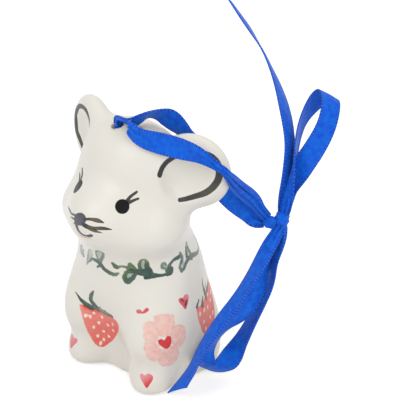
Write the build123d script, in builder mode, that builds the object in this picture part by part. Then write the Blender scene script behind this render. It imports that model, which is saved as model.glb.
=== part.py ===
from build123d import *
import os
from math import cos, radians, sin, sqrt

# A sitting mouse, about 75 mm tall, slip-cast in one hollow shell of white clay and glazed,
# with a narrow satin ribbon threaded under a bridge in its crown, knotted and tied in a bow.
# Sizes are in millimetres. The mouse faces -Y, its left side is +X, and the table is z = 0.

# Driving dimensions of the figure
figure_height = 75.0
body_half_width = 19.0
body_half_depth = 17.0
wall = 3.0
base_rounding = 0.8

# Height, half width, half depth and place along Y of the ellipses that trunk and head follow,
# from below the table, where the casting is cut flat, to the crown
body_shares = [
    (-0.06, 0.86, 0.83, 0.35),
    (0.0, 0.955, 0.925, 0.35),
    (0.04, 0.99, 0.96, 0.35),
    (0.11, 0.995, 0.977, 0.34),
    (0.19, 0.965, 1.0, 0.28),
    (0.27, 0.945, 1.017, 0.16),
    (0.35, 0.965, 1.01, 0.04),
    (0.43, 0.968, 0.97, -0.02),
    (0.49, 0.93, 0.91, -0.06),
    (0.54, 0.893, 0.877, -0.13),
    (0.58, 0.92, 0.87, -0.2),
    (0.625, 0.99, 0.876, -0.27),
    (0.67, 1.02, 0.87, -0.3),
    (0.71, 0.99, 0.83, -0.26),
    (0.76, 0.945, 0.77, -0.19),
    (0.82, 0.91, 0.71, -0.13),
    (0.88, 0.83, 0.64, -0.12),
    (0.93, 0.69, 0.52, -0.12),
    (0.965, 0.51, 0.38, -0.12),
    (0.99, 0.26, 0.2, -0.12),
]
crown_rounding = 0.7

# Muzzle, haunches and paws: half sizes, and places from the middle of the base
muzzle_half_sizes = (8.8, 9.1, 7.4)
muzzle_place_shares = (-0.83, 0.69)
haunch_half_sizes = (7.2, 11.2, 12.4)
haunch_place_shares = (0.63, -0.35, 0.233)
paw_half_sizes = (6.1, 7.2, 6.1)
paw_place_shares = (0.63, -0.53, 0.047)
muzzle_blend = 2.6
haunch_blend = 3.0
paw_blend = 1.6

# Ears: round lenses of clay, turned outward and cupped in front. The root is the inner edge of
# the lens inside the head, a share of the half width; the rest are shares of the ear's radius.
ear_radius = 10.5
ear_thickness_share = 0.4286
ear_turn = 22.0
ear_root_share = 0.3944
ear_along_share = 0.06
ear_up_share = 0.867
ear_blend_share = 0.2095
cup_radius_share = 0.72
cup_depth_share = 0.4
cup_lift_share = 0.1143
cup_outward_share = 0.1
cup_up_share = 0.06
cup_rounding_share = 0.05714

# Tail: low relief that leaves the seat, runs round the right haunch's back and curls up,
# as shares of half width and of height, with the share of its thickness at each place
tail_thickness = 3.6
tail_way_shares = [
    (0.3, 0.035, 0.9),
    (0.0, 0.04, 0.9),
    (-0.3, 0.05, 1.0),
    (-0.56, 0.085, 0.95),
    (-0.63, 0.15, 0.82),
    (-0.47, 0.215, 0.66),
    (-0.25, 0.225, 0.45),
]

# Openings of the casting
crown_hole_diameter = 3.6
crown_hole_spacing = 6.2
crown_hole_setting_share = -0.285
crown_hole_depth = 8.0
vent_diameter = 9.0
vent_setting_share = 0.2
overrun = 1.0

# Hollow: the body's ellipses from the floor to the brow, a wall further in, closed by a crown
hollow_first_share = 0.04
hollow_last_share = 0.93
hollow_brow_skin_share = 1.35
hollow_crown_shares = (0.952, 0.3, 0.2, -0.14)

# Ribbon
ribbon_width = 6.0
ribbon_thickness = 0.35
sections_per_row = 3
knot_diameter = 3.3
knot_place = (29.8, 18.8, 46.6)
wrap_diameter = 3.6
wrap_length = 4.4
wrap_waist_share = 0.86
wrap_place = (31.6, 21.8, 46.9)
wrap_direction = (-0.15, 0.48, 0.87)

# Each route is a list of places on the ribbon's centre line, with the share of its full width
# that it shows there, because it is gathered near the holes, the knot and the wrap, and the
# turn of its face in degrees from the start. The first vector is the way across at the start.
bight_route = [
    (-3.1, -4.85, 74.3, 0.38, 0),
    (-3.1, -4.85, 72.6, 0.38, 0),
    (-3.0, -4.85, 71.2, 0.38, 0),
    (-2.0, -4.5, 70.1, 0.38, 0),
    (0.0, -4.3, 69.8, 0.38, 0),
    (2.0, -4.5, 70.1, 0.38, 0),
    (3.0, -4.85, 71.2, 0.38, 0),
    (3.1, -4.85, 72.6, 0.38, 0),
    (3.1, -4.85, 74.3, 0.38, 0),
]
near_route = [
    (3.1, -4.85, 74.1, 0.38, 0),
    (3.3, -5.1, 75.6, 0.42, 0),
    (3.7, -8.3, 77.0, 0.5, -32),
    (5.7, -9.5, 76.6, 0.7, -35),
    (8.9, -8.7, 74.9, 0.92, -39),
    (13.2, -6.5, 74.1, 1, -56),
    (18.5, -4.6, 73.6, 1, -60),
    (23.3, -2.9, 72.8, 1, -35),
    (26.7, -1.7, 71.1, 1, -5),
    (28.7, -0.6, 69.6, 1, -9),
    (29.8, -0.6, 69.6, 1, -48),
    (30.6, 0.4, 68.1, 1, -133),
    (28.6, 6.7, 61.4, 1, -144),
    (28.2, 14.1, 54.6, 0.92, -128),
    (28.7, 16.7, 50.3, 0.65, -114),
    (29.6, 18.5, 47.9, 0.4, -92),
]
far_route = [
    (-3.1, -4.85, 74.1, 0.38, 0),
    (-2.9, -5.0, 75.6, 0.42, 0),
    (-1.3, -5.7, 76.3, 0.5, -11),
    (0.8, -5.9, 76.1, 0.58, -17),
    (2.6, -5.4, 76.3, 0.75, -16),
    (4.1, -3.9, 77.5, 0.92, -9),
    (5.2, -1.7, 78.2, 1, -1),
    (6.5, 0.6, 77.9, 1, -8),
    (8.1, 2.6, 76.7, 1, -31),
    (9.5, 4.4, 74.1, 1, -16),
    (10.9, 6.3, 71.2, 1, 11),
    (12.9, 9.1, 66.5, 1, -41),
    (16.3, 10.2, 61.4, 1, -53),
    (19.1, 10.5, 57.6, 1, -58),
    (21.3, 11.2, 55.0, 1, -55),
    (23.4, 12.8, 52.4, 1, -50),
    (25.6, 15.5, 49.5, 1, -53),
    (26.6, 16.9, 46.7, 0.77, -56),
    (28.5, 18.3, 46.1, 0.4, -67),
]
upper_loop_route = [
    (32.2, 21.9, 48.6, 0.45, 0),
    (32.6, 23.2, 53.8, 0.75, -45),
    (31.5, 25.5, 58.6, 1, -59),
    (29.6, 29.4, 62.7, 1, -83),
    (26.7, 34.2, 66.7, 1, -91),
    (25.0, 39.1, 70.0, 1, -94),
    (25.2, 43.4, 72.7, 1, -108),
    (27.6, 44.8, 75.3, 1, -118),
    (31.0, 42.8, 76.2, 1, -108),
    (33.5, 39.7, 74.2, 1, -115),
    (34.0, 37.2, 69.6, 1, -115),
    (32.9, 34.2, 64.5, 1, -101),
    (31.2, 31.0, 59.6, 1, -71),
    (30.4, 28.5, 54.3, 0.92, -25),
    (30.7, 26.8, 49.9, 0.65, -4),
    (30.9, 23.5, 47.7, 0.45, -30),
]
upper_tail_route = [
    (31.2, 22.4, 48.3, 0.45, 0),
    (30.4, 23.9, 51.2, 0.75, 25),
    (29.8, 26.2, 56.4, 1, 43),
    (28.7, 28.2, 60.9, 1, 43),
    (27.4, 30.2, 64.9, 1, 43),
    (24.9, 32.3, 68.8, 1, 44),
    (22.2, 34.1, 72.5, 1, 46),
    (18.9, 36.0, 76.3, 1, 51),
    (14.7, 38.0, 80.2, 1, 54),
    (9.7, 40.0, 83.9, 1, 61),
    (4.3, 41.9, 86.9, 1, 58),
    (-1.5, 44.1, 89.9, 1, 54),
    (-7.2, 46.1, 92.3, 1, 55),
]
lower_loop_route = [
    (32.1, 21.2, 45.4, 0.45, 0),
    (32.4, 20.0, 40.9, 0.75, 40),
    (32.1, 18.2, 36.3, 1, 61),
    (32.3, 16.4, 30.3, 1, 57),
    (31.0, 13.5, 23.6, 1, 55),
    (29.3, 11.0, 16.8, 1, 50),
    (27.5, 8.6, 10.7, 1, 36),
    (26.6, 5.6, 6.7, 1, -17),
    (23.9, 4.3, 3.8, 1, -52),
    (21.7, 2.4, 5.2, 1, -41),
    (22.0, 0.4, 8.3, 1, 2),
    (23.6, 1.5, 12.4, 1, 51),
    (26.4, 3.6, 17.8, 1, 42),
    (29.7, 6.8, 21.8, 1, 24),
    (31.4, 10.4, 26.1, 1, 1),
    (31.8, 13.2, 33.0, 1, -8),
    (30.2, 19.2, 38.2, 0.75, 6),
    (31.1, 21.7, 44.9, 0.45, 66),
]
lower_tail_route = [
    (32.5, 20.5, 45.9, 0.42, 0),
    (32.4, 16.3, 42.6, 0.8, 30),
    (32.1, 13.1, 38.6, 1, 37),
    (31.3, 8.8, 33.6, 1, 42),
    (30.0, 4.6, 28.2, 1, 41),
    (28.3, 1.0, 23.6, 1, 43),
    (26.4, -2.1, 18.7, 1, 49),
    (24.7, -4.8, 13.2, 1, 48),
    (23.8, -7.0, 7.9, 1, 46),
    (21.2, -9.9, 2.6, 1, 45),
]
stretches = [
    ("ribbon_bight", bight_route, (0, 1, 0)),
    ("hanger_near_strand", near_route, (0.3, -0.2, -0.9)),
    ("hanger_far_strand", far_route, (-0.7, -0.7, 0.3)),
    ("bow_loop_upper", upper_loop_route, (-0.9, -0.3, 0.2)),
    ("bow_tail_upper", upper_tail_route, (-0.6, -0.8, 0.2)),
    ("bow_loop_lower", lower_loop_route, (0.9, 0.4, 0)),
    ("bow_tail_lower", lower_tail_route, (0.9, 0.2, -0.2)),
]


def both_sides(half_sizes, place_shares, turn=0, shift=(0, 0, 0)):
    """A ball stretched to three half sizes on the left side, with its twin on the right"""
    across, along, up = place_shares
    twins = []
    for side in (1, -1):
        place = Pos(side * across * body_half_width, along * body_half_depth, up * figure_height)
        moved = Pos(side * shift[0], shift[1], shift[2])
        twins.append(place * Rot(0, 0, side * turn) * moved * scale(Sphere(1), by=half_sizes))
    return Compound(twins)


def back_place(across, up):
    """The place on the back's skin at a share of half width and a share of height"""
    below = max(row for row in body_shares if row[0] <= up)
    above = min(row for row in body_shares if row[0] > up)
    part = (up - below[0]) / (above[0] - below[0])
    half_width, half_depth, along = [low * (1 - part) + high * part for low, high in zip(below[1:], above[1:])]
    reach = half_depth * sqrt(1 - (across / half_width) ** 2)
    return Vector(across * body_half_width, (along + reach) * body_half_depth, up * figure_height)


def stations(route, across):
    """Planes square to a route's smooth line, each with the share of full width there"""
    line = Spline(*[(x, y, z) for x, y, z, share, turn in route])
    places = [line.param_at_point(Vector(x, y, z)) for x, y, z, share, turn in route]
    rows = [(place, share, turn) for place, (x, y, z, share, turn) in zip(places, route)]
    parts = [step / sections_per_row for step in range(sections_per_row)]
    steps = [(low, high, part) for low, high in zip(rows, rows[1:]) for part in parts]
    steps.append((rows[-1], rows[-1], 0))
    carried = Vector(*across)
    found = []
    for low, high, part in steps:
        place, share, turn = [start * (1 - part) + end * part for start, end in zip(low, high)]
        ahead = line % place
        carried = (carried - ahead * carried.dot(ahead)).normalized()
        face_way = carried * cos(radians(turn)) + ahead.cross(carried) * sin(radians(turn))
        found.append((Plane(line @ place, x_dir=face_way, z_dir=ahead), share))
    return found


os.makedirs("parts", exist_ok=True)

# The hollow inside the casting: the body's ellipses, a wall further in
with BuildPart() as hollow:
    for up, across, deep, along in body_shares:
        if hollow_first_share <= up <= hollow_last_share:
            skin = wall * hollow_brow_skin_share if up == hollow_last_share else wall
            with BuildSketch(Plane((0, along * body_half_depth, up * figure_height))):
                Ellipse(across * body_half_width - skin, deep * body_half_depth - skin)
    up, across, deep, along = hollow_crown_shares
    with BuildSketch(Plane((0, along * body_half_depth, up * figure_height))):
        Ellipse(across * body_half_width, deep * body_half_depth)
    loft()

# The tail, a row of circles on a line that follows the back
with BuildPart() as tail:
    tail_route = [(*back_place(across, up), share, 0) for across, up, share in tail_way_shares]
    for plane, share in stations(tail_route, (0, 0, 1)):
        with BuildSketch(plane):
            Circle(tail_thickness / 2 * share)
    loft()

# The figure
muzzle_along, muzzle_up = muzzle_place_shares
muzzle_place = Pos(0, muzzle_along * body_half_depth, muzzle_up * figure_height)
muzzle = muzzle_place * scale(Sphere(1), by=muzzle_half_sizes)
ear_lens_shares = (1, ear_thickness_share, 1)
cup_lens_shares = (cup_radius_share, cup_depth_share, cup_radius_share)
cup_shift_shares = (cup_outward_share, -ear_thickness_share - cup_lift_share, cup_up_share)
ear_half_sizes = tuple(share * ear_radius for share in ear_lens_shares)
cup_half_sizes = tuple(share * ear_radius for share in cup_lens_shares)
cup_shift = tuple(share * ear_radius for share in cup_shift_shares)
ear_place_shares = (ear_root_share + ear_radius / body_half_width, ear_along_share, ear_up_share)
ears = both_sides(ear_half_sizes, ear_place_shares, ear_turn)
cups = both_sides(cup_half_sizes, ear_place_shares, ear_turn, cup_shift)
haunches = both_sides(haunch_half_sizes, haunch_place_shares)
paws = both_sides(paw_half_sizes, paw_place_shares)
with BuildPart() as mouse_figure:
    for up, across, deep, along in body_shares:
        with BuildSketch(Plane((0, along * body_half_depth, up * figure_height))):
            Ellipse(across * body_half_width, deep * body_half_depth)
    loft()
    fillet(mouse_figure.edges().group_by(Axis.Z)[-1], crown_rounding)
    add(muzzle)
    fillet(mouse_figure.edges(Select.NEW), muzzle_blend)
    add(ears)
    fillet(mouse_figure.edges(Select.NEW), ear_blend_share * ear_radius)
    add(cups, mode=Mode.SUBTRACT)
    fillet(mouse_figure.edges(Select.NEW), cup_rounding_share * ear_radius)
    add(haunches)
    fillet(mouse_figure.edges(Select.NEW), haunch_blend)
    add(paws)
    fillet(mouse_figure.edges(Select.NEW), paw_blend)
    add(tail.part)
    split(bisect_by=Plane.XY, keep=Keep.TOP)
    fillet(mouse_figure.edges().group_by(Axis.Z)[0], base_rounding)
    add(hollow.part, mode=Mode.SUBTRACT)
    with Locations((0, vent_setting_share * body_half_depth, wall + overrun)):
        Hole(vent_diameter / 2, depth=wall + 2 * overrun)
    crown_setting = crown_hole_setting_share * body_half_depth
    with Locations((0, crown_setting, figure_height)):
        with GridLocations(crown_hole_spacing, 0, 2, 1):
            Hole(crown_hole_diameter / 2, depth=crown_hole_depth)
mouse_figure.part.label = "mouse_figure"
export_step(mouse_figure.part, "parts/mouse_figure.step")

# The ribbon's free stretches
for name, route, across in stretches:
    with BuildPart() as stretch:
        for plane, share in stations(route, across):
            with BuildSketch(plane):
                Rectangle(ribbon_width * share, ribbon_thickness / share)
        loft(ruled=True)
    stretch.part.label = name
    export_step(stretch.part, f"parts/{name}.step")

# The knot where both strands meet
with BuildPart() as ribbon_knot:
    with Locations(knot_place):
        Sphere(knot_diameter / 2)
ribbon_knot.part.label = "ribbon_knot"
export_step(ribbon_knot.part, "parts/ribbon_knot.step")

# The turn of ribbon round the bow's middle, a barrel about the line from loop to loop
wrap_plane = Plane(wrap_place, z_dir=wrap_direction)
with BuildPart() as bow_wrap:
    with BuildSketch(Plane(wrap_place, x_dir=wrap_plane.x_dir, z_dir=-wrap_plane.y_dir)):
        with BuildLine():
            ThreePointArc(
                (wrap_waist_share * wrap_diameter / 2, -wrap_length / 2),
                (wrap_diameter / 2, 0),
                (wrap_waist_share * wrap_diameter / 2, wrap_length / 2),
            )
            Polyline(
                (wrap_waist_share * wrap_diameter / 2, wrap_length / 2),
                (0, wrap_length / 2),
                (0, -wrap_length / 2),
                (wrap_waist_share * wrap_diameter / 2, -wrap_length / 2),
            )
        make_face()
    revolve(axis=Axis(wrap_place, wrap_direction))
bow_wrap.part.label = "bow_wrap"
export_step(bow_wrap.part, "parts/bow_wrap.step")
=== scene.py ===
import bmesh
import bpy
import numpy as np
import openvdb
from bpy.props import FloatProperty, FloatVectorProperty, PointerProperty
from mathutils import Matrix


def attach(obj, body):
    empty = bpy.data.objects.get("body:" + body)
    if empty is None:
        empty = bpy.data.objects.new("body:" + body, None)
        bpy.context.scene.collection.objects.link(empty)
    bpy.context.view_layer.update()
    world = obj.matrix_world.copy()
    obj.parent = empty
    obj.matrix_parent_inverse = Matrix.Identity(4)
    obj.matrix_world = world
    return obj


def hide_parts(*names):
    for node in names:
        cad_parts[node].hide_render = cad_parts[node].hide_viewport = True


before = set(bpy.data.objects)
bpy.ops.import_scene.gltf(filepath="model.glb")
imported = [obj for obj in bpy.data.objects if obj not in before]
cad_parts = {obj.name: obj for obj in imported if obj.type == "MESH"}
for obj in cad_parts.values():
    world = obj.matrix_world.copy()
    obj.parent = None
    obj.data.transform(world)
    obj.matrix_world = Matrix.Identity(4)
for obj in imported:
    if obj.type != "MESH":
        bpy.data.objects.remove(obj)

bl_info = {
    "name": "Sitting Mouse Ornament",
    "version": (1, 0, 0),
    "blender": (4, 5, 0),
    "location": "3D View > Sidebar > Mouse Ornament",
    "description": "A glazed, hand-painted mouse figurine with a satin ribbon bow",
    "category": "Add Mesh",
}

# Shapes are worked out in millimetres, as in the part's source, and scaled into the scene
MM = 0.001

# Trunk and head: centre and radii of each stretched ball. Those off the middle have a twin.
BELLY = ((0, 6, 6.5), (19, 16.5, 24.5))
CHEST = ((0, -1, 31), (18.5, 16, 19))
HAUNCH = ((12, -6, 17.5), (7, 11, 12))
PAW = ((12, -9, 3.5), (6, 7, 6))
CRANIUM = ((0, -2, 60), (17.5, 12, 15))
CHEEKS = ((0, -7, 49), (19.5, 13, 9.5))
MUZZLE = ((0, -14, 52), (8.5, 9, 7))
EAR = ((18, 1, 65), (10.5, 4.5, 10.5))
EAR_CUP = ((21.14, -3.98, 65.6), (7.56, 4.2, 7.56))
EAR_TURN = np.radians(22.0)

# How widely each pair of forms runs together, in millimetres
CHEST_BLEND, HAUNCH_BLEND, PAW_BLEND = 10.0, 7.0, 5.0
CHEEK_BLEND, MUZZLE_BLEND, EAR_BLEND, CUP_BLEND, NECK_BLEND = 8.0, 6.0, 4.5, 2.0, 8.0
BASE_BLEND, TAIL_BLEND, HOLE_BLEND = 2.0, 1.6, 0.6

# Places that the tail passes on the back, as across and up, with its half thickness
TAIL_WAY = [
    (6.5, 1.9, 1.6),
    (0.0, 2.6, 2.1),
    (-6.0, 4.2, 2.1),
    (-10.6, 6.6, 1.9),
    (-12.3, 11.2, 1.7),
    (-9.4, 16.0, 1.4),
    (-5.0, 17.2, 1.0),
]
CROWN_HOLES = ((3.1, -4.85, 66.0), (3.1, -4.85, 80.0))
CROWN_HOLE_RADIUS = 1.8
VENT = ((0, 3.4, -4.0), (0, 3.4, 9.0))
VENT_RADIUS = 4.5

# The ribbon's routes: places on the centre line in millimetres, the share of full width that
# the gathered ribbon shows there, and the turn of its face in degrees
BIGHT_ROUTE = [
    (-3.1, -4.85, 74.3, 0.38, 0),
    (-3.1, -4.85, 72.6, 0.38, 0),
    (-3.0, -4.85, 71.2, 0.38, 0),
    (-2.0, -4.5, 70.1, 0.38, 0),
    (0.0, -4.3, 69.8, 0.38, 0),
    (2.0, -4.5, 70.1, 0.38, 0),
    (3.0, -4.85, 71.2, 0.38, 0),
    (3.1, -4.85, 72.6, 0.38, 0),
    (3.1, -4.85, 74.3, 0.38, 0),
]
NEAR_ROUTE = [
    (3.1, -4.85, 74.1, 0.38, 0),
    (3.3, -5.1, 75.6, 0.42, 0),
    (3.7, -8.3, 77.0, 0.5, -32),
    (5.7, -9.5, 76.6, 0.7, -35),
    (8.9, -8.7, 74.9, 0.92, -39),
    (13.2, -6.5, 74.1, 1, -56),
    (18.5, -4.6, 73.6, 1, -56),
    (23.3, -2.9, 72.8, 0.85, -42),
    (26.7, -1.7, 71.1, 0.6, -32),
    (28.7, -0.6, 69.6, 0.42, -30),
    (29.8, -0.6, 69.6, 0.36, -36),
    (30.6, 0.4, 68.1, 0.36, -50),
    (28.6, 6.7, 61.4, 0.62, -75),
    (28.2, 14.1, 54.6, 0.72, -95),
    (28.7, 16.7, 50.3, 0.55, -98),
    (29.6, 18.5, 47.9, 0.4, -92),
]
FAR_ROUTE = [
    (-3.1, -4.85, 74.1, 0.38, 0),
    (-2.9, -5.0, 75.6, 0.42, 0),
    (-1.3, -5.7, 76.3, 0.5, -11),
    (0.8, -5.9, 76.1, 0.58, -17),
    (2.6, -5.4, 76.3, 0.75, -16),
    (4.1, -3.9, 77.5, 0.92, -9),
    (5.2, -1.7, 78.2, 1, -1),
    (6.5, 0.6, 77.9, 1, -8),
    (8.1, 2.6, 76.7, 1, -31),
    (9.5, 4.4, 74.1, 1, -16),
    (10.9, 6.3, 71.2, 1, 11),
    (12.9, 9.1, 66.5, 1, -41),
    (16.3, 10.2, 61.4, 1, -53),
    (19.1, 10.5, 57.6, 1, -58),
    (21.3, 11.2, 55.0, 1, -55),
    (23.4, 12.8, 52.4, 1, -50),
    (25.6, 15.5, 49.5, 1, -53),
    (26.6, 16.9, 46.7, 0.77, -56),
    (28.5, 18.3, 46.1, 0.4, -67),
]
UPPER_LOOP_ROUTE = [
    (32.2, 21.9, 48.6, 0.45, 0),
    (32.6, 23.2, 53.8, 0.75, -45),
    (31.5, 25.5, 58.6, 1, -59),
    (29.6, 29.4, 62.7, 1, -83),
    (26.7, 34.2, 66.7, 1, -91),
    (25.0, 39.1, 70.0, 1, -94),
    (25.2, 43.4, 72.7, 1, -108),
    (27.6, 44.8, 75.3, 1, -118),
    (31.0, 42.8, 76.2, 1, -108),
    (33.5, 39.7, 74.2, 1, -115),
    (34.0, 37.2, 69.6, 1, -115),
    (32.9, 34.2, 64.5, 1, -101),
    (31.2, 31.0, 59.6, 1, -71),
    (30.4, 28.5, 54.3, 0.92, -25),
    (30.7, 26.8, 49.9, 0.65, -4),
    (30.9, 23.5, 47.7, 0.45, -30),
]
UPPER_TAIL_ROUTE = [
    (31.2, 22.4, 48.3, 0.45, 0),
    (30.4, 23.9, 51.2, 0.75, 25),
    (29.8, 26.2, 56.4, 1, 43),
    (28.7, 28.2, 60.9, 1, 43),
    (27.4, 30.2, 64.9, 1, 43),
    (24.9, 32.3, 68.8, 1, 44),
    (22.2, 34.1, 72.5, 1, 46),
    (18.9, 36.0, 76.3, 1, 51),
    (14.7, 38.0, 80.2, 1, 54),
    (9.7, 40.0, 83.9, 1, 61),
    (4.3, 41.9, 86.9, 1, 58),
    (-1.5, 44.1, 89.9, 1, 54),
    (-7.2, 46.1, 92.3, 1, 55),
]
LOWER_LOOP_ROUTE = [
    (32.1, 21.2, 45.4, 0.45, 0),
    (32.4, 20.0, 40.9, 0.75, 40),
    (32.1, 18.2, 36.3, 1, 61),
    (32.3, 16.4, 30.3, 1, 57),
    (31.0, 13.5, 23.6, 1, 55),
    (29.3, 11.0, 16.8, 1, 50),
    (27.5, 8.6, 10.7, 1, 36),
    (26.6, 5.6, 6.7, 1, -17),
    (23.9, 4.3, 3.8, 1, -52),
    (21.7, 2.4, 5.2, 1, -55),
    (22.0, 0.4, 8.3, 1, -19),
    (23.6, 1.5, 12.4, 1, 12),
    (26.4, 3.6, 17.8, 1, 12),
    (29.7, 6.8, 21.8, 1, -6),
    (31.4, 10.4, 26.1, 1, -22),
    (31.8, 13.2, 33.0, 1, -12),
    (30.2, 19.2, 38.2, 0.75, 6),
    (31.1, 21.7, 44.9, 0.45, 66),
]
LOWER_TAIL_ROUTE = [
    (32.5, 20.5, 45.9, 0.42, 0),
    (32.4, 16.3, 42.6, 0.8, 30),
    (32.1, 13.1, 38.6, 1, 37),
    (31.3, 8.8, 33.6, 1, 42),
    (30.0, 4.6, 28.2, 1, 41),
    (28.3, 1.0, 23.6, 1, 43),
    (26.4, -2.1, 18.7, 1, 49),
    (24.7, -4.8, 13.2, 1, 48),
    (23.8, -7.0, 7.9, 1, 46),
    (21.2, -9.9, 2.6, 1, 45),
]
KNOT_PLACE = (29.8, 18.8, 46.6)
WRAP_PLACE = (31.6, 21.8, 46.9)
WRAP_DIRECTION = (-0.15, 0.48, 0.87)


# Geometry of the glazed figure: a field that is negative inside the clay


def run_together(one, other, blend):
    """The smaller of two distances, with the crease filled over a width of blend: at a part
    h between the two it is their mix less blend times h times (1 - h)"""
    h = np.clip(0.5 + 0.5 * (other - one) / blend, 0, 1)
    return other * (1 - h) + one * h - blend * h * (1 - h)


def carve(solid, tool, blend):
    """The solid's distance with the tool's inside taken away, the edge rounded over blend"""
    return -run_together(-solid, tool, blend)


def ball(points, form, turn=0.0, twin=False):
    """Distance to a stretched ball: with k0 the length of place over radius and k1 that of
    place over radius squared, it is k0 (k0 - 1) / k1. A twin takes x without its sign."""
    centre, radii = form
    x = (np.abs(points[:, 0]) if twin else points[:, 0]) - centre[0]
    y, z = points[:, 1] - centre[1], points[:, 2] - centre[2]
    if turn:
        x, y = np.cos(turn) * x + np.sin(turn) * y, np.cos(turn) * y - np.sin(turn) * x
    a, b, c = x / radii[0], y / radii[1], z / radii[2]
    k0 = np.sqrt(a * a + b * b + c * c)
    k1 = np.sqrt((a / radii[0]) ** 2 + (b / radii[1]) ** 2 + (c / radii[2]) ** 2)
    return k0 * (k0 - 1) / np.maximum(k1, 1e-6)


def string_of(points, places, radii):
    """Distance to a chain of round-ended rods whose radius runs evenly from place to place,
    and how far along the chain, counted in places, the nearest rod point lies"""
    best = np.full(len(points), 1e3)
    along = np.zeros(len(points))
    for step, (start, end) in enumerate(zip(places, places[1:])):
        way = end - start
        part = np.clip((points - start) @ way / max(way @ way, 1e-9), 0, 1)
        away = np.linalg.norm(points - start - part[:, None] * way, axis=1)
        away -= radii[step] * (1 - part) + radii[step + 1] * part
        nearer = away < best
        best = np.where(nearer, away, best)
        along = np.where(nearer, step + part, along)
    return best, along


def plain_field(points):
    """Distance to the figure without tail and holes: all balls run together, ears cupped,
    and cut flat at the table"""
    trunk = run_together(ball(points, BELLY), ball(points, CHEST), CHEST_BLEND)
    trunk = run_together(trunk, ball(points, HAUNCH, twin=True), HAUNCH_BLEND)
    trunk = run_together(trunk, ball(points, PAW, twin=True), PAW_BLEND)
    head = run_together(ball(points, CRANIUM), ball(points, CHEEKS), CHEEK_BLEND)
    head = run_together(head, ball(points, MUZZLE), MUZZLE_BLEND)
    head = run_together(head, ball(points, EAR, EAR_TURN, twin=True), EAR_BLEND)
    head = carve(head, ball(points, EAR_CUP, EAR_TURN, twin=True), CUP_BLEND)
    return carve(run_together(trunk, head, NECK_BLEND), points[:, 2], BASE_BLEND)


def slope(field, points, step=0.05):
    """The field's gradient by differences over a step to both sides"""
    reach = np.eye(3) * step
    sides = [(field(points + way) - field(points - way)) / (2 * step) for way in reach]
    return np.stack(sides, axis=1)


def settle(field, points, rounds=3):
    """Points moved onto the surface by repeated steps of -field times slope over slope squared"""
    for _ in range(rounds):
        grade = slope(field, points)
        size = np.maximum((grade * grade).sum(axis=1), 0.05)
        points = points - (field(points) / size)[:, None] * grade
    return points


def drop(field, points, inward, rounds=40):
    """Points moved straight along a fixed way, by the field's value, until they meet the skin"""
    for _ in range(rounds):
        points = points + field(points)[:, None] * inward
    return points


def tail_places():
    """The tail's places dropped onto the back, with its half thicknesses"""
    rows = np.array(TAIL_WAY)
    starts = np.column_stack([rows[:, 0], np.full(len(rows), 40.0), rows[:, 1]])
    places = drop(plain_field, starts, np.array([0.0, -1.0, 0.0]))
    fine = flowing(np.column_stack([places, rows[:, 2]]), 6)
    return fine[:, :3], fine[:, 3]


def flowing(rows, per_step):
    """A smooth line through rows: between two rows it is the cubic whose end directions are
    half the difference of their neighbours"""
    rows = np.asarray(rows, float)
    padded = np.vstack([2 * rows[0] - rows[1], rows, 2 * rows[-1] - rows[-2]])
    t = (np.arange(per_step) / per_step)[:, None]
    parts = [
        0.5
        * (
            2 * b
            + (c - a) * t
            + (2 * a - 5 * b + 4 * c - d) * t**2
            + (3 * b - 3 * c + d - a) * t**3
        )
        for a, b, c, d in zip(padded, padded[1:], padded[2:], padded[3:])
    ]
    return np.vstack(parts + [rows[-1:]])


TAIL_PLACES, TAIL_RADII = tail_places()


def figure_field(points):
    """Distance to the whole figure: the plain form with its tail in relief, two holes in the
    crown and the pouring hole's neck"""
    body = plain_field(points)
    low = (points[:, 2] < 24) & (points[:, 1] > 8)
    if low.any():
        tail = string_of(points[low], TAIL_PLACES, TAIL_RADII)[0]
        body[low] = run_together(body[low], tail, TAIL_BLEND)
    sided = points * 1.0
    sided[:, 0] = np.abs(sided[:, 0])
    hole_ends = np.array(CROWN_HOLES, float)
    hole = string_of(sided, hole_ends, (CROWN_HOLE_RADIUS,) * 2)[0]
    body = carve(body, hole, HOLE_BLEND)
    vent = string_of(points, np.array(VENT, float), (VENT_RADIUS,) * 2)[0]
    return carve(body, vent, HOLE_BLEND)


def skinned(spacing):
    """Corners and four-sided faces of the figure's surface. The field is worked out on a
    coarse grid, then on a fine one wherever the coarse one is near the surface, and the zero
    level is taken from it."""
    coarse = 4
    low = np.array([-31.0, -27.0, -3.0])
    count = np.ceil(np.array([62.0, 54.0, 84.0]) / (spacing * coarse)).astype(int)
    axes = [low[i] + (np.arange(count[i]) * coarse + (coarse - 1) / 2) * spacing for i in range(3)]
    grid = np.stack(np.meshgrid(*axes, indexing="ij"), axis=-1).reshape(-1, 3)
    rough = figure_field(grid).reshape(count)
    volume = np.repeat(np.repeat(np.repeat(rough, coarse, 0), coarse, 1), coarse, 2)
    near = np.abs(volume) < spacing * coarse * 1.3
    places = low + np.argwhere(near) * spacing
    volume[near] = figure_field(places)
    values = openvdb.FloatGrid()
    values.copyFromArray(volume.astype(np.float32))
    corners, quads = values.convertToQuads(0.0)
    return low + corners * spacing, quads


# Painting: every mark is a distance in millimetres over the skin, negative inside the mark


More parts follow.
